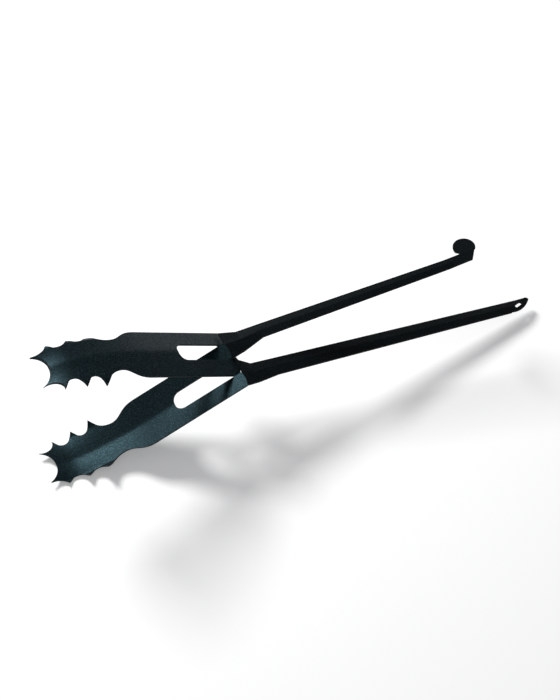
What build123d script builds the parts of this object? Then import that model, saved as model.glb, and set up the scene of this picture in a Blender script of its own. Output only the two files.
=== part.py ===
from build123d import *
import math
import os

# Spring loaded kitchen tongs: two folded sheet arms that cross like scissors.
# Each arm is a toothed, forked jaw plate with one handle strap. The four bands of
# the two forks lie side by side, each in the other jaw's window.
# Millimetres. X runs from the jaws (-X) to the handles (+X), Y is across, Z is up.
# Everything is built around the point where the jaw plates cross, and is then moved
# so that the origin is the centre of the base of the model's bounding box.

# ---- sheets and bands ----
SHEET = 1.5                 # sheet of the jaws
STRAP = 1.5                 # sheet of the handle straps
BAND = 14.5                 # pitch of the fork bands
BAND_GAP = 0.3              # trimmed off the edges of each band
HALF_OPEN = 28.0            # each jaw plate above or below the middle plane, degrees

# ---- jaw plate, along the plate from the crossing ----
JAW_LENGTH = 165.0
TOOTH_COUNT = 3             # teeth on each side behind the front claw
TOOTH_FIRST = 122.5
TOOTH_PITCH = 16.0
FLANK_LENGTH = 3.5          # a tooth's straight flank, along the plate
NOSE_BAY = 7.5              # depth of the bay between the front claws
NOSE_FULLNESS = 0.85        # how far in that bay already is, halfway to a claw
WINDOW_RADIUS = 7.0
UPPER_WINDOW_END = 50.5     # closed end of the window
LOWER_WINDOW_END = 56.5
UPPER_WELD_END = -3.2       # end of the band that is joined to a handle, past the crossing
LOWER_WELD_END = -0.6
UPPER_FREE_END = -2.3       # end of the other band
LOWER_FREE_END = -1.5
END_BULGE = 1.2             # roundness of a band's end
# the side whose band is joined to a handle
WELD_SHOULDER = 83.3        # end of the straight band
WELD_NECK = 105.0           # narrowest place
WELD_NECK_HALF = 14.0
WELD_TOOTH_HALF = 24.4      # half width over the rear tooth
WELD_TAPER = 1.2            # each next tooth stands in by this much
WELD_FLANK_DEPTH = 5.0      # a tooth's straight flank, across the plate
WELD_SCALLOP_DEPTH = 7.5    # from the tooth tips to the bottom of a scallop
WELD_CLAW_HALF = 13.2       # half width over the front claw
WELD_CLAW_BAY = 4.5         # depth of the bay behind the front claw
# the side whose band ends free: its lip curls in more, so it is narrower in plan
FREE_SHOULDER = 82.0
FREE_NECK = 103.0
FREE_NECK_HALF = 14.4
FREE_TOOTH_HALF = 21.5
FREE_TAPER = 1.6
FREE_FLANK_DEPTH = 3.5
FREE_SCALLOP_DEPTH = 4.8
FREE_CLAW_HALF = 14.0
FREE_CLAW_BAY = 2.2

# ---- section of the jaw plate ----
FOLD_ANGLE = 9.3            # slope of each wing, degrees
FOLD_ROUND = 1.5            # size of the rounded fold
WELD_LIP_START = 18.0       # half width where the toothed lip starts to curl
WELD_LIP_CURL = 0.06
FREE_LIP_START = 15.0
FREE_LIP_CURL = 0.14
LIP_BLEND = 16.0            # length over which the lip grows, behind the rear tooth
SPOON_START = 80.0          # the ridge starts to drop towards the other jaw
SPOON_DROP = 0.0024
NOSE_START = 141.0
NOSE_DROP = 0.0142
NOSE_SIDE = 0.4             # share of the drop that is missing at the lip
GRID_U = 44
GRID_V = 41
GRID_TOLERANCE = 0.02
MARGIN = 4.0                # the formed sheet before it is trimmed

# ---- handle straps ----
ROOT_RISE = 1.6             # height of the shallow fold where the root narrows
STRAP_RISE = 0.9            # height of the fold along the strap
ROOT_FLARE = 13.0           # the root is wide up to here
ROOT_END = 31.0             # the root has narrowed to the strap here
FLAT_LENGTH = 12.0          # length over which the fold runs out at the far end
UPPER_START = -0.4
UPPER_SLOPE = 6.6           # degrees above the middle plane
UPPER_BASE = 0.55           # height of its ridge at the crossing
UPPER_LIFT = 1.75           # the ridge starts this much higher, to meet the jaw's band
UPPER_OUTER = 26.4          # outer edge of the root where it starts
UPPER_LAP = 2.6             # the root's edges start this much below its ridge
UPPER_FLARE_FAR = 22.1      # edges of the root where it has flared in
UPPER_FLARE_NEAR = 3.2
UPPER_WIDTH = 12.6          # where the root ends
UPPER_END_WIDTH = 9.0
UPPER_LENGTH = 206.0        # up to the flat end plate
UPPER_CENTRE = 14.6
UPPER_END_CENTRE = 7.6
LOWER_START = 2.0
LOWER_SLOPE = -10.1
LOWER_BASE = 0.1
LOWER_LIFT = 0.0
LOWER_OUTER = 26.2
LOWER_LAP = 0.4
LOWER_FLARE_FAR = -6.8
LOWER_FLARE_NEAR = -24.9
LOWER_WIDTH = 15.4
LOWER_END_WIDTH = 10.8
LOWER_LENGTH = 287.0
LOWER_CENTRE = -14.8
LOWER_END_CENTRE = -9.9
PLATE_NEAR = 9.8            # length of the upper strap's end plate along its near edge
PLATE_FAR = 16.6            # and along the fold of the thumb tab
THUMB_RADIUS = 9.3          # round thumb tab beside the end plate
THUMB_ALONG = 9.6           # its centre from the start of the end plate
THUMB_ACROSS = 5.2          # its centre from the fold
THUMB_BEND = 8.0            # the tab is bent down at the fold, degrees
NOTCH_LENGTH = 2.4          # relief notch at the end of the fold
NOTCH_WIDTH = 1.8
NOTCH_FLARE = 0.7           # the notch widens by this much for each length outwards
LEAF_LENGTH = 23.0          # the near edge of the lower strap's end curves in over this
LEAF_BLUNT = 2.5            # length of the rounded tip, along the strap
LEAF_TIP = 2.5              # depth of the rounded tip, across the strap
LEAF_ROUND = 0.3            # share of the tip's corner that its arc leaves out
LEAF_BULGE = 3.2            # roundness of the curved near edge
HANG_LENGTH = 8.0           # slot for a hook
HANG_WIDTH = 2.6
HANG_TURN = 19.5            # the slot stands askew to the strap, degrees
HANG_EDGE = 13.1            # its centre from the end of the strap

# ---- pivot ----
PIVOT_X = 4.5
PIVOT_Z = -9.0
PIN_RADIUS = 1.6
PIN_PLAY = 0.05             # radial clearance in the ears that turn
EAR_RADIUS = 3.4
EAR_SHEET = 1.6
EAR_LEFT = -9.0             # the ears reach from here
EAR_RIGHT = 3.5             # to here along their arm
EAR_PLAY = 0.15             # beside each washer
EAR_INSET = 0.7             # the inner ears stand in from the edges of their band
WASHER_SHEET = 1.3
WASHER_RADIUS = 3.1
HEAD_RADIUS = 2.9
HEAD_SHEET = 1.5
RING_SHEET = 1.0
RING_RADIUS = 2.8
PIN_END = 0.8               # the pin stands out of its ring by this much

# ---- torsion spring ----
WIRE = 1.2
COIL_RADIUS = 2.7           # to the wire's centre
COIL_TURNS = 2              # whole turns, before the part turn that aims the legs
COIL_PITCH = 1.4
COIL_START = 7.6            # the wire's centre at the coil's near end
LEG_ANGLE = 28.5            # the free leg rises towards the upper handle, degrees
LEG_LENGTH = 14.0
ANCHOR_REACH = 5.8          # from the pin to the hole for the hooked leg
ANCHOR_ANGLE = -64.0        # that hole's direction from the pin, degrees
ANCHOR_LOBE = 1.9           # radius of the ear's lobe round the hole
ANCHOR_PLAY = 0.1
HOOK_RADIUS = 1.3
HOOK_OUT = 0.5              # the hooked leg stands out of its ear by this much

FOLD_OVERLAP = 0.3          # the tab reaches this far into the end plate
TINY = 0.01
TALL = JAW_LENGTH           # reach of a cut that goes through everything


def slope(angle):
    return math.tan(math.radians(angle))


# ---- jaws ----
def wing_drop(v):
    return slope(FOLD_ANGLE) * (math.hypot(v, FOLD_ROUND) - FOLD_ROUND)


def lip_drop(u, v):
    grown = (u - TOOTH_FIRST + LIP_BLEND) / LIP_BLEND
    grown = min(max(grown, 0.0), 1.0)
    start, curl = (WELD_LIP_START, WELD_LIP_CURL) if v > 0 else (FREE_LIP_START, FREE_LIP_CURL)
    return grown * curl * max(abs(v) - start, 0.0) ** 2


def nose_drop(u, v):
    drop = SPOON_DROP * max(u - SPOON_START, 0.0) ** 2
    drop += NOSE_DROP * max(u - NOSE_START, 0.0) ** 2
    return drop * (1.0 - NOSE_SIDE * (v / WELD_TOOTH_HALF) ** 2)


def jaw_height(u, v):
    return SHEET / 2 - wing_drop(v) - lip_drop(u, v) - nose_drop(u, v)


def formed_sheet():
    """The pressed sheet before it is trimmed: its outer face, thickened inwards."""
    ends = (UPPER_WELD_END, LOWER_WELD_END, UPPER_FREE_END, LOWER_FREE_END)
    first = min(ends) - END_BULGE - MARGIN
    last = JAW_LENGTH + MARGIN
    half = WELD_TOOTH_HALF + MARGIN
    rows = []
    for i in range(GRID_U):
        u = first + (last - first) * i / (GRID_U - 1)
        row = []
        for j in range(GRID_V):
            v = half * (2 * j / (GRID_V - 1) - 1)
            row.append(Vector(u, v, jaw_height(u, v)))
        rows.append(row)
    outer = Face.make_surface_from_array_of_points(rows, tol=GRID_TOLERANCE)
    return thicken(outer, amount=SHEET, normal_override=(0, 0, -1))


def between(a, b, inward):
    """The middle of a and b, moved towards the plate's centre line."""
    return ((a[0] + b[0]) / 2, (a[1] + b[1]) / 2 - math.copysign(inward, a[1]))


def band_edges(side, end, window):
    """The window and the band of one side of the jaw's plan, out to its outer corner."""
    half = side * (1.5 * BAND - BAND_GAP)
    inner = side * (BAND / 2 + BAND_GAP)
    turned = side * (BAND / 2 + BAND_GAP - WINDOW_RADIUS)
    corner = window - WINDOW_RADIUS
    bend = WINDOW_RADIUS * (1 - math.sqrt(0.5))
    round_corner = ((window, turned), (window - bend, inner - side * bend), (corner, inner))
    round_end = ((end, inner), (end - END_BULGE, (half + inner) / 2), (end, half))
    return [
        Edge.make_line((window, 0), (window, turned)),
        Edge.make_three_point_arc(*round_corner),
        Edge.make_line((corner, inner), (end, inner)),
        Edge.make_three_point_arc(*round_end),
    ]


def toothed_edges(side, tooth_half, taper, flank_depth, scallop_depth, claw_half, claw_bay):
    """The teeth, the claw and half of the nose on one side of the jaw's plan."""
    tips = []
    for i in range(TOOTH_COUNT):
        tips.append((TOOTH_FIRST + i * TOOTH_PITCH, side * (tooth_half - i * taper)))
    root = side * flank_depth
    edges = [Edge.make_line((tips[0][0] - FLANK_LENGTH, tips[0][1] - root), tips[0])]
    for a, b in zip(tips, tips[1:]):
        front = (a[0] + FLANK_LENGTH, a[1] - root)
        rear = (b[0] - FLANK_LENGTH, b[1] - root)
        edges.append(Edge.make_line(a, front))
        edges.append(Edge.make_three_point_arc(front, between(a, b, scallop_depth), rear))
        edges.append(Edge.make_line(rear, b))
    claw = (JAW_LENGTH, side * claw_half)
    hollow = (JAW_LENGTH - NOSE_BAY * NOSE_FULLNESS, claw[1] / 2)
    edges.append(Edge.make_three_point_arc(tips[-1], between(tips[-1], claw, claw_bay), claw))
    edges.append(Edge.make_three_point_arc(claw, hollow, (JAW_LENGTH - NOSE_BAY, 0)))
    return edges


def half_outline(side, window, end):
    """The edges of one side of the jaw's plan: 1 is the joined band's side, -1 the free band's."""
    if side > 0:
        shoulder = WELD_SHOULDER
        neck = (WELD_NECK, WELD_NECK_HALF)
        teeth = toothed_edges(side, WELD_TOOTH_HALF, WELD_TAPER, WELD_FLANK_DEPTH,
                              WELD_SCALLOP_DEPTH, WELD_CLAW_HALF, WELD_CLAW_BAY)
    else:
        shoulder = FREE_SHOULDER
        neck = (FREE_NECK, -FREE_NECK_HALF)
        teeth = toothed_edges(side, FREE_TOOTH_HALF, FREE_TAPER, FREE_FLANK_DEPTH,
                              FREE_SCALLOP_DEPTH, FREE_CLAW_HALF, FREE_CLAW_BAY)
    bands = band_edges(side, end, window)
    corner = bands[-1] @ 1
    straight = Edge.make_line(corner, (shoulder, corner.Y))
    flank = teeth[0]
    waist = Edge.make_spline([straight @ 1, Vector(*neck), flank @ 0], tangents=[Vector(1, 0), flank % 0])
    return bands + [straight, waist] + teeth


def jaw_plate(window, weld_end, free_end):
    plans = []
    for side, end in ((1, weld_end), (-1, free_end)):
        seam = Edge.make_line((JAW_LENGTH - NOSE_BAY, 0), (window, 0))
        edges = half_outline(side, window, end)
        plans.append(Face(Wire.combine(edges + [seam])[0]))
    plan = plans[0] + plans[1]
    cutter = extrude(plan, amount=TALL, both=True)
    return (formed_sheet() & cutter).solid()


def jaw_frame(arm):
    """The frame of a jaw's plate: arm is 1 for the upper jaw and -1 for the lower one."""
    angle = math.radians(HALF_OPEN)
    along = (-math.cos(angle), 0, arm * math.sin(angle))
    outward = (math.sin(angle), 0, arm * math.cos(angle))
    return Plane(origin=(0, arm * BAND / 2, 0), x_dir=along, z_dir=outward)


# ---- handles ----
def strap_section(x, ridge, outer, inner, outer_rise, inner_rise):
    """A shallow roof: a ridge in the middle and two edges that lie lower."""
    half = STRAP / 2
    middle = (outer + inner) / 2
    line = [(outer, ridge - outer_rise), (middle, ridge), (inner, ridge - inner_rise)]
    corners = [(y, z + half) for y, z in line] + [(y, z - half) for y, z in reversed(line)]
    return Wire.make_polygon([Vector(x, y, z) for y, z in corners], close=True)


def strap(base, angle, stations):
    """A folded strap through stations of place, lift, outer edge, inner edge and fold heights."""
    wires = []
    for x, lift, *section in stations:
        wires.append(strap_section(x, base + lift + x * slope(angle), *section))
    return Solid.make_loft(wires, ruled=True)


def strap_stations(side, start, lift, outer, lap, flare, centre, width, length, end_centre, end_width):
    """Side is 1 for the strap whose root is on the far side, -1 for the near side."""
    straight = length - FLAT_LENGTH
    share = (straight - ROOT_END) / (length - ROOT_END)
    last_centre = centre + share * (end_centre - centre)
    last_half = (width + share * (end_width - width)) / 2
    half = width / 2
    end_half = end_width / 2
    root_rise = ROOT_RISE + lift / 2
    last = (last_centre + side * last_half, last_centre - side * last_half)
    return [
        (start, lift, side * outer, side * BAND_GAP, lap, lap),
        (ROOT_FLARE, lift / 2, *flare, root_rise, root_rise),
        (ROOT_END, 0, centre + side * half, centre - side * half, STRAP_RISE, STRAP_RISE),
        (straight, 0, *last, STRAP_RISE, STRAP_RISE),
        (length, 0, end_centre + side * end_half, end_centre - side * end_half, TINY, TINY),
    ]


def thumb_end():
    """The flat end of the upper strap, with a round thumb tab bent down along its far edge."""
    near = UPPER_END_CENTRE - UPPER_END_WIDTH / 2
    far = UPPER_END_CENTRE + UPPER_END_WIDTH / 2
    along = Vector(1, 0, 0).rotate(Axis.Y, -UPPER_SLOPE)
    up = Vector(0, 0, 1).rotate(Axis.Y, -UPPER_SLOPE)
    middle = UPPER_BASE + UPPER_LENGTH * slope(UPPER_SLOPE)
    flat = Plane(origin=(UPPER_LENGTH, 0, middle), x_dir=along, z_dir=up)
    tilted = up.rotate(Axis(flat.origin, along), -THUMB_BEND)
    bent = Plane(origin=(UPPER_LENGTH, far, middle), x_dir=along, z_dir=tilted)
    corners = [(-FLAT_LENGTH / 2, near), (PLATE_NEAR, near), (PLATE_FAR, far), (-FLAT_LENGTH / 2, far)]
    plate = extrude(flat * Polygon(*corners, align=None), amount=STRAP / 2, both=True)
    round_tab = Pos(THUMB_ALONG, THUMB_ACROSS) * Circle(THUMB_RADIUS)
    beyond = 2 * THUMB_RADIUS
    round_tab -= Pos(0, -beyond - FOLD_OVERLAP) * Rectangle(4 * beyond, 2 * beyond)
    flared = NOTCH_WIDTH + NOTCH_FLARE * (NOTCH_LENGTH + beyond)
    notch = [(NOTCH_LENGTH, -beyond), (NOTCH_LENGTH, NOTCH_WIDTH), (-beyond, flared), (-beyond, -beyond)]
    round_tab -= Polygon(*notch, align=None)
    return plate + extrude(bent * round_tab, amount=STRAP / 2, both=True)


def upper_handle(jaw):
    flare = (UPPER_FLARE_FAR, UPPER_FLARE_NEAR)
    stations = strap_stations(1, UPPER_START, UPPER_LIFT, UPPER_OUTER, UPPER_LAP, flare, UPPER_CENTRE,
                              UPPER_WIDTH, UPPER_LENGTH, UPPER_END_CENTRE, UPPER_END_WIDTH)
    body = strap(UPPER_BASE, UPPER_SLOPE, stations)
    return (body + thumb_end() - jaw).solid()


def leaf_end():
    """What is cut off the lower strap's end, in plan, to leave a lopsided leaf."""
    far = LOWER_END_CENTRE + LOWER_END_WIDTH / 2
    near = far - LOWER_END_WIDTH
    start = (LOWER_LENGTH - LEAF_LENGTH, near)
    tip = (LOWER_LENGTH, far - LEAF_TIP)
    blunt = (LOWER_LENGTH - LEAF_BLUNT, far)
    bulge = ((start[0] + tip[0]) / 2, (start[1] + tip[1]) / 2 - LEAF_BULGE)
    corner = (LOWER_LENGTH - LEAF_ROUND * LEAF_BLUNT, far - LEAF_ROUND * LEAF_TIP)
    beyond = LOWER_LENGTH + MARGIN
    edges = [Edge.make_three_point_arc(start, bulge, tip), Edge.make_three_point_arc(tip, corner, blunt)]
    around = [blunt, (blunt[0], far + MARGIN), (beyond, far + MARGIN), (beyond, near - MARGIN)]
    around += [(start[0], near - MARGIN), start]
    for a, b in zip(around, around[1:]):
        edges.append(Edge.make_line(a, b))
    return Face(Wire.combine(edges)[0])


def hang_slot():
    x = LOWER_LENGTH - HANG_EDGE
    share = (x - ROOT_END) / (LOWER_LENGTH - ROOT_END)
    y = LOWER_CENTRE + share * (LOWER_END_CENTRE - LOWER_CENTRE)
    return Pos(x, y, 0) * SlotOverall(HANG_LENGTH, HANG_WIDTH, rotation=HANG_TURN)


def lower_handle(jaw):
    flare = (LOWER_FLARE_NEAR, LOWER_FLARE_FAR)
    stations = strap_stations(-1, LOWER_START, LOWER_LIFT, LOWER_OUTER, LOWER_LAP, flare, LOWER_CENTRE,
                              LOWER_WIDTH, LOWER_LENGTH, LOWER_END_CENTRE, LOWER_END_WIDTH)
    body = strap(LOWER_BASE, LOWER_SLOPE, stations)
    body -= extrude(leaf_end(), amount=TALL, both=True)
    body -= extrude(hang_slot(), amount=TALL, both=True)
    return (body - jaw).solid()


# ---- pivot ----
def slab(sketch, near, thickness):
    """A sketch drawn in X and Z, made solid from near towards +Y."""
    return extrude(Plane.XZ.offset(-near) * sketch, amount=thickness, dir=(0, 1, 0))


def disc(radius, near, thickness, bore=0.0):
    ring = Circle(radius)
    if bore:
        ring -= Circle(bore)
    return slab(Pos(PIVOT_X, PIVOT_Z) * ring, near, thickness).solid()


def plate_middle(arm, x, y):
    """The height of the middle of a jaw's plate: 1 for the upper jaw, -1 for the lower one."""
    drop = wing_drop(y - arm * BAND / 2) / math.cos(math.radians(HALF_OPEN))
    return -arm * (x * slope(HALF_OPEN) + drop)


def root_middle(side, x, y):
    """The height of the middle of a root: 1 for the far side's root, -1 for the near side's."""
    base, angle = (UPPER_BASE, UPPER_SLOPE) if side > 0 else (LOWER_BASE, LOWER_SLOPE)
    return base + x * slope(angle) - ROOT_RISE * abs(y - side * BAND) / BAND


def ear_profile(arm, near, root, start):
    """A flat ear that fills the space from the plates down to the pin."""
    y = near + EAR_SHEET / 2
    points = [(EAR_LEFT, plate_middle(arm, EAR_LEFT, y)), (start, plate_middle(arm, start, y))]
    if root:
        points.append((start, root_middle(root, start, y)))
        points.append((EAR_RIGHT, root_middle(root, EAR_RIGHT, y)))
    points.append((PIVOT_X + EAR_RADIUS, PIVOT_Z))
    points.append((PIVOT_X - EAR_RADIUS, PIVOT_Z))
    return Polygon(*points, align=None) + Pos(PIVOT_X, PIVOT_Z) * Circle(EAR_RADIUS)


def ear(arm, near, bore, plates, root=0, start=0.0, anchored=False):
    """An ear trimmed to the undersides of its own arm's plates."""
    profile = ear_profile(arm, near, root, start)
    if anchored:
        profile += anchor() * Circle(ANCHOR_LOBE)
        reach = Pos(PIVOT_X, PIVOT_Z) * Rot(0, 0, ANCHOR_ANGLE) * Pos(ANCHOR_REACH / 2, 0)
        profile += reach * Rectangle(ANCHOR_REACH, 2 * ANCHOR_LOBE)
        profile -= anchor() * Circle(WIRE / 2 + ANCHOR_PLAY)
    profile -= Pos(PIVOT_X, PIVOT_Z) * Circle(bore)
    body = slab(profile, near, EAR_SHEET)
    for plate in plates:
        body -= plate
    return body.solids().sort_by(SortBy.VOLUME)[-1]


def anchor():
    """Where the spring's fixed leg goes through its ear, in X and Z."""
    angle = math.radians(ANCHOR_ANGLE)
    return Pos(PIVOT_X + ANCHOR_REACH * math.cos(angle), PIVOT_Z + ANCHOR_REACH * math.sin(angle))


# ---- torsion spring ----
def tube(path):
    section = Plane(origin=path @ 0, z_dir=path % 0) * Circle(WIRE / 2)
    return sweep(section, path=path, is_frenet=True)


def torsion_spring(near):
    """A coil on the pin: one leg is hooked into the fixed ear, the other lies under the upper root."""
    begin = ANCHOR_ANGLE - math.degrees(math.acos(COIL_RADIUS / ANCHOR_REACH))
    wound = (begin - 90 - LEG_ANGLE) % 360 + 360 * COIL_TURNS
    turn = math.radians(begin)
    seat = Plane(origin=(PIVOT_X, COIL_START, PIVOT_Z), x_dir=(math.cos(turn), 0, math.sin(turn)),
                 z_dir=(0, 1, 0))
    coil = Helix(COIL_PITCH, COIL_PITCH * wound / 360, COIL_RADIUS)
    away = coil % 1
    back = (coil % 0) * -1
    free = Edge.make_line(coil @ 1, (coil @ 1) + away * LEG_LENGTH)
    reach = math.sqrt(ANCHOR_REACH ** 2 - COIL_RADIUS ** 2)
    corner = (coil @ 0) + back * (reach / math.hypot(back.X, back.Y))
    hooked = FilletPolyline(coil @ 0, corner, corner - Vector(0, 0, COIL_START - near), radius=HOOK_RADIUS)
    spring = tube(coil)
    for leg in (Wire([free]), hooked):
        section = Plane(origin=leg @ 0, z_dir=leg % 0) * Circle(WIRE / 2)
        spring += sweep(section, path=leg)
    return (seat * spring).solid()


# ---- assembly ----
def pieces():
    upper = jaw_frame(1) * jaw_plate(UPPER_WINDOW_END, UPPER_WELD_END, UPPER_FREE_END)
    lower = jaw_frame(-1) * jaw_plate(LOWER_WINDOW_END, LOWER_WELD_END, LOWER_FREE_END)
    upper_strap = upper_handle(lower)
    lower_strap = lower_handle(upper)
    running = PIN_RADIUS + PIN_PLAY
    gap = WASHER_SHEET + 2 * EAR_PLAY
    inner_near = BAND_GAP + EAR_INSET
    inner_far = BAND - EAR_INSET - EAR_SHEET
    outer_near = inner_near - gap - EAR_SHEET
    outer_far = inner_far + EAR_SHEET + gap
    far_face = outer_far + EAR_SHEET
    ring_near = outer_near - RING_SHEET
    pin_near = ring_near - PIN_END
    pin = disc(PIN_RADIUS, pin_near, far_face - pin_near) + disc(HEAD_RADIUS, far_face, HEAD_SHEET)
    own = (lower, upper_strap)
    return {
        "upper_jaw": upper,
        "lower_jaw": lower,
        "upper_handle": upper_strap,
        "lower_handle": lower_strap,
        "upper_jaw_ear": ear(1, outer_far, PIN_RADIUS, (upper,)),
        "lower_handle_ear": ear(1, outer_near, PIN_RADIUS, (upper, lower_strap), -1, LOWER_START, True),
        "lower_jaw_ear_far": ear(-1, inner_far, running, own, 1, UPPER_START),
        "lower_jaw_ear_near": ear(-1, inner_near, running, own, 1, UPPER_START),
        "hinge_pin": pin.solid(),
        "pin_ring": disc(RING_RADIUS, ring_near, RING_SHEET, PIN_RADIUS),
        "washer_far": disc(WASHER_RADIUS, outer_far - EAR_PLAY - WASHER_SHEET, WASHER_SHEET, running),
        "washer_near": disc(WASHER_RADIUS, inner_near - EAR_PLAY - WASHER_SHEET, WASHER_SHEET, running),
        "torsion_spring": torsion_spring(outer_near - HOOK_OUT),
    }


def write_parts(made):
    box = Compound(list(made.values())).bounding_box()
    base = Location((-box.center().X, -box.center().Y, -box.min.Z))
    os.makedirs("parts", exist_ok=True)
    for name, solid in made.items():
        export_step(solid.moved(base), f"parts/{name}.step")
    print("origin moved by", tuple(round(value, 4) for value in base.position))
    pivot = base.position + Vector(PIVOT_X, 0, PIVOT_Z)
    print("hinge axis through", tuple(round(value, 4) for value in pivot))


write_parts(pieces())
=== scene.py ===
import bpy
from mathutils import Matrix, Vector


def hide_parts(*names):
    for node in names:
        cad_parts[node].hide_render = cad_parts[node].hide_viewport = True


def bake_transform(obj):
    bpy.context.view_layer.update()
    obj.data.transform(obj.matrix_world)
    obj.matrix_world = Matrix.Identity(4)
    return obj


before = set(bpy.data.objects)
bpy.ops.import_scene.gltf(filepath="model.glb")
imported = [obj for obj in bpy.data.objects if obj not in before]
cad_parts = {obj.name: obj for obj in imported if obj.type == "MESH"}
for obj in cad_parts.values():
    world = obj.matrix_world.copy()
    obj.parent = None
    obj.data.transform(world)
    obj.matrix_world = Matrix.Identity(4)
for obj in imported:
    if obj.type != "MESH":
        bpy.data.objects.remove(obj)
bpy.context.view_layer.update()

# ---- camera: metres, in the frame of the model ----
EYE = Vector((-0.42206, -0.55561, 1.01823))
IMAGE_RIGHT = Vector((0.89307, -0.43339, 0.12082))
IMAGE_UP = Vector((0.29719, 0.76986, 0.56480))
BACKWARDS = IMAGE_RIGHT.cross(IMAGE_UP)
LENS = 76.8
CLIP_START = 0.01
CLIP_END = 20

# ---- light and floor ----
WORLD_COLOUR = (0.97, 0.985, 1.0, 1)
WORLD_STRENGTH = 0.3
KEY_FROM = Vector((-0.28, 0.70, 0.66))      # towards the lamp
KEY_AWAY = 1.6
KEY_SIZE = 0.5
KEY_POWER = 27
FLOOR_COLOUR = (0.92, 0.92, 0.92, 1)
FLOOR_GLOW = 0.22                           # what the floor lacks to pure white
FLOOR_HALF = 6.0
FLOOR_DROP = 0.0005                         # below the lowest point of the model

# ---- finishes: lengths in metres, patterns in repeats per metre ----
EDGE_ROUND = 0.0004
EDGE_SAMPLES = 4
PATTERN_MIX = 0.5           # the largest share of the second colour pattern, where two are mixed

COAT_GRAIN = 1150.0         # specks in the powder coat
COAT_GRAIN_DETAIL = 2.0
COAT_GRAIN_ROUGH = 0.6
COAT_CLOUD = 45.0           # slow changes in its depth
COAT_CLOUD_DETAIL = 3.0
DEEP_STOPS = (0.40, 0.52, 0.66)             # where a speck is dark, middling and pale
WORN_STOPS = (0.34, 0.46, 0.64)
SHEEN_STOPS = (0.36, 0.62)                  # where the coat is dullest and smoothest
COAT_DULLER = 0.1
COAT_SMOOTHER = 0.08
COAT_BUMP = 0.9
COAT_BUMP_HEIGHT = 0.0002

STEEL_MARKS = 900.0         # drawing and turning marks
STEEL_MARKS_DETAIL = 4.0
STEEL_MARKS_ROUGH = 0.6
STEEL_STAIN = 160.0
STEEL_STAIN_DETAIL = 3.0
STEEL_STOPS = (0.3, 0.7)
STEEL_DULL = 0.6            # a stain's darkest colour, as a share of the clean steel's darkest
STEEL_SMOOTHER = 0.06
STEEL_DULLER = 0.12
STEEL_BUMP = 0.25
STEEL_BUMP_HEIGHT = 0.00008


def add_object(name, data):
    thing = bpy.data.objects.new(name, data)
    bpy.context.scene.collection.objects.link(thing)
    return thing


def make_camera():
    data = bpy.data.cameras.new("camera")
    data.lens = LENS
    data.clip_start = CLIP_START
    data.clip_end = CLIP_END
    camera = add_object("camera", data)
    turn = Matrix((IMAGE_RIGHT, IMAGE_UP, BACKWARDS)).transposed()
    camera.matrix_world = Matrix.Translation(EYE) @ turn.to_4x4()
    bpy.context.scene.camera = camera


def make_world():
    world = bpy.data.worlds.new("studio")
    bpy.context.scene.world = world
    world.use_nodes = True
    light = world.node_tree.nodes["Background"]
    light.inputs["Color"].default_value = WORLD_COLOUR
    light.inputs["Strength"].default_value = WORLD_STRENGTH


def make_lamp(name, towards, away, size, power):
    data = bpy.data.lights.new(name, "AREA")
    data.shape = "DISK"
    data.size = size
    data.energy = power
    lamp = add_object(name, data)
    lamp.location = towards.normalized() * away
    lamp.rotation_mode = "QUATERNION"
    lamp.rotation_quaternion = (-towards).to_track_quat("-Z", "Y")


def joined(links, node, one, other):
    """The node's result with these two put in."""
    links.new(one, node.inputs[0])
    links.new(other, node.inputs[1])
    return node.outputs[0]


def math_node(nodes, operation):
    node = nodes.new("ShaderNodeMath")
    node.operation = operation
    return node


def floor_material():
    """A matt white floor that glows a little, but only as the eye and reflections see it."""
    material = bpy.data.materials.new("floor")
    material.use_nodes = True
    nodes, links = material.node_tree.nodes, material.node_tree.links
    nodes.clear()
    matt = nodes.new("ShaderNodeBsdfDiffuse")
    matt.inputs["Color"].default_value = FLOOR_COLOUR
    rays = nodes.new("ShaderNodeLightPath").outputs
    seen = rays["Is Camera Ray"]
    for ray in ("Is Glossy Ray", "Is Transmission Ray"):
        seen = joined(links, math_node(nodes, "MAXIMUM"), seen, rays[ray])
    strength = math_node(nodes, "MULTIPLY")
    links.new(seen, strength.inputs[0])
    strength.inputs[1].default_value = FLOOR_GLOW
    glow = nodes.new("ShaderNodeEmission")
    links.new(strength.outputs[0], glow.inputs["Strength"])
    both = joined(links, nodes.new("ShaderNodeAddShader"), matt.outputs[0], glow.outputs[0])
    links.new(both, nodes.new("ShaderNodeOutputMaterial").inputs["Surface"])
    return material


def make_floor():
    mesh = bpy.data.meshes.new("floor")
    signs = ((-1, -1), (1, -1), (1, 1), (-1, 1))
    corners = [(x * FLOOR_HALF, y * FLOOR_HALF, 0) for x, y in signs]
    mesh.from_pydata(corners, [], [tuple(range(len(corners)))])
    mesh.materials.append(floor_material())
    floor = add_object("floor", mesh)
    floor.location.z = -FLOOR_DROP


# ---- materials ----
def grey(value):
    return (value, value, value)


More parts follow.
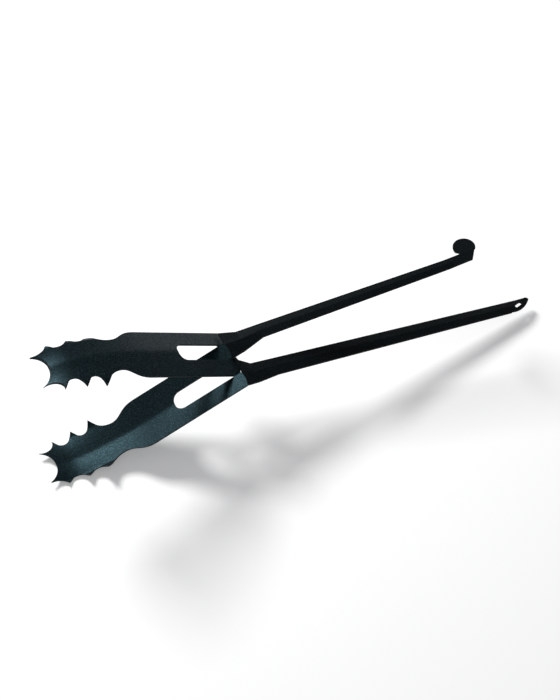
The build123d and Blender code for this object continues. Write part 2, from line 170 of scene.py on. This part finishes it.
class Shader:
    """A material with a Principled shader and a few helpers to wire it."""

    def __init__(self, name):
        self.material = bpy.data.materials.new(name)
        self.material.use_nodes = True
        self.nodes = self.material.node_tree.nodes
        self.links = self.material.node_tree.links
        self.surface = self.nodes["Principled BSDF"]
        self.place = self.nodes.new("ShaderNodeTexCoord").outputs["Object"]

    def set(self, **values):
        for name, value in values.items():
            self.surface.inputs[name.replace("_", " ")].default_value = value

    def noise(self, scale, detail, rough=0.5, stretch=None):
        node = self.nodes.new("ShaderNodeTexNoise")
        node.inputs["Scale"].default_value = scale
        node.inputs["Detail"].default_value = detail
        node.inputs["Roughness"].default_value = rough
        place = self.place
        if stretch:
            mapping = self.nodes.new("ShaderNodeMapping")
            mapping.inputs["Scale"].default_value = stretch
            self.links.new(place, mapping.inputs["Vector"])
            place = mapping.outputs["Vector"]
        self.links.new(place, node.inputs["Vector"])
        return node.outputs["Fac"]

    def ramp(self, source, places, colours):
        node = self.nodes.new("ShaderNodeValToRGB")
        elements = node.color_ramp.elements
        while len(elements) < len(places):
            elements.new(1.0)
        for element, place, colour in zip(elements, places, colours):
            element.position = place
            element.color = (*colour, 1)
        self.links.new(source, node.inputs["Fac"])
        return node.outputs["Color"]

    def span(self, source, low, high):
        node = self.nodes.new("ShaderNodeMapRange")
        node.inputs["To Min"].default_value = low
        node.inputs["To Max"].default_value = high
        self.links.new(source, node.inputs["Value"])
        return node.outputs["Result"]

    def mix(self, share, one, other):
        node = self.nodes.new("ShaderNodeMix")
        node.data_type = "RGBA"
        self.links.new(share, node.inputs["Factor"])
        self.links.new(one, node.inputs["A"])
        self.links.new(other, node.inputs["B"])
        return node.outputs["Result"]

    def to(self, name, source):
        self.links.new(source, self.surface.inputs[name])

    def bump(self, height, strength, distance):
        """Rounded edges with the given relief on them."""
        edges = self.nodes.new("ShaderNodeBevel")
        edges.samples = EDGE_SAMPLES
        edges.inputs["Radius"].default_value = EDGE_ROUND
        node = self.nodes.new("ShaderNodeBump")
        node.inputs["Strength"].default_value = strength
        node.inputs["Distance"].default_value = distance
        self.links.new(height, node.inputs["Height"])
        self.links.new(edges.outputs["Normal"], node.inputs["Normal"])
        return node.outputs["Normal"]


def powder_coat(name, dark, middle, pale, tint, roughness, shine):
    """A near-black powder coat with fine specks that are paler and smoother than the rest."""
    coat = Shader(name)
    specks = coat.noise(COAT_GRAIN, COAT_GRAIN_DETAIL, COAT_GRAIN_ROUGH)
    cloud = coat.noise(COAT_CLOUD, COAT_CLOUD_DETAIL)
    deep = coat.ramp(specks, DEEP_STOPS, (dark, middle, pale))
    worn = coat.ramp(specks, WORN_STOPS, (dark, middle, pale))
    coat.to("Base Color", coat.mix(coat.span(cloud, 0.0, PATTERN_MIX), deep, worn))
    dull, smooth = roughness + COAT_DULLER, roughness - COAT_SMOOTHER
    coat.to("Roughness", coat.ramp(specks, SHEEN_STOPS, (grey(dull), grey(smooth))))
    coat.set(Specular_IOR_Level=shine, Specular_Tint=(*tint, 1))
    coat.to("Normal", coat.bump(specks, COAT_BUMP, COAT_BUMP_HEIGHT))
    return coat.material


def drawn_steel(name, dark, pale, roughness, stretch):
    """Bare steel with fine drawing or turning marks."""
    steel = Shader(name)
    marks = steel.noise(STEEL_MARKS, STEEL_MARKS_DETAIL, STEEL_MARKS_ROUGH, stretch)
    stain = steel.noise(STEEL_STAIN, STEEL_STAIN_DETAIL)
    plain = steel.ramp(marks, STEEL_STOPS, (dark, pale))
    dull = steel.ramp(marks, STEEL_STOPS, (tuple(STEEL_DULL * c for c in dark), dark))
    steel.to("Base Color", steel.mix(steel.span(stain, 0.0, PATTERN_MIX), plain, dull))
    steel.to("Roughness", steel.span(stain, roughness - STEEL_SMOOTHER, roughness + STEEL_DULLER))
    steel.set(Metallic=1.0)
    steel.to("Normal", steel.bump(marks, STEEL_BUMP, STEEL_BUMP_HEIGHT))
    return steel.material


def jaw_coat():
    return powder_coat(
        "jaw_coat",
        dark=(0.001, 0.0018, 0.0022),
        middle=(0.0035, 0.0055, 0.0065),
        pale=(0.014, 0.027, 0.032),
        tint=(0.36, 0.82, 1.0),
        roughness=0.36,
        shine=0.16,
    )


def strap_coat():
    return powder_coat(
        "strap_coat",
        dark=(0.001, 0.0015, 0.0018),
        middle=(0.0022, 0.003, 0.0035),
        pale=(0.007, 0.010, 0.011),
        tint=(0.7, 0.9, 1.0),
        roughness=0.40,
        shine=0.08,
    )


def ear_coat():
    return powder_coat(
        "ear_coat",
        dark=(0.003, 0.004, 0.005),
        middle=(0.006, 0.008, 0.009),
        pale=(0.012, 0.015, 0.017),
        tint=(0.6, 0.85, 1.0),
        roughness=0.5,
        shine=0.25,
    )


def pin_steel():
    """Turned steel: the marks run round the pin."""
    return drawn_steel(
        "pin_steel",
        dark=(0.33, 0.34, 0.35),
        pale=(0.55, 0.55, 0.54),
        roughness=0.30,
        stretch=(1, 0.08, 1),
    )


def wire_steel():
    return drawn_steel(
        "wire_steel",
        dark=(0.20, 0.21, 0.23),
        pale=(0.42, 0.42, 0.42),
        roughness=0.28,
        stretch=(0.2, 1, 0.2),
    )


# ---- the model's pieces ----
def coat_mesh(mesh, material):
    mesh.materials.clear()
    mesh.materials.append(material)


def dress(names, material):
    for name in names:
        coat_mesh(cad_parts[name].data, material)


def winding_spring(material):
    """A copy of the torsion spring in the given material, shown in place of the hidden CAD part."""
    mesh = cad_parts["torsion_spring"].data.copy()
    spring = add_object("winding_spring", mesh)
    coat_mesh(mesh, material)
    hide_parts("torsion_spring")
    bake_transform(spring)


def dress_model():
    dress(("upper_jaw", "lower_jaw"), jaw_coat())
    dress(("upper_handle", "lower_handle"), strap_coat())
    dress(("upper_jaw_ear", "lower_handle_ear", "lower_jaw_ear_far", "lower_jaw_ear_near"), ear_coat())
    dress(("hinge_pin", "pin_ring", "washer_far", "washer_near"), pin_steel())
    wire = wire_steel()
    dress(("torsion_spring",), wire)
    winding_spring(wire)


make_camera()
make_world()
make_floor()
make_lamp("key", KEY_FROM, KEY_AWAY, KEY_SIZE, KEY_POWER)
dress_model()
bpy.context.scene.view_settings.view_transform = "Standard"
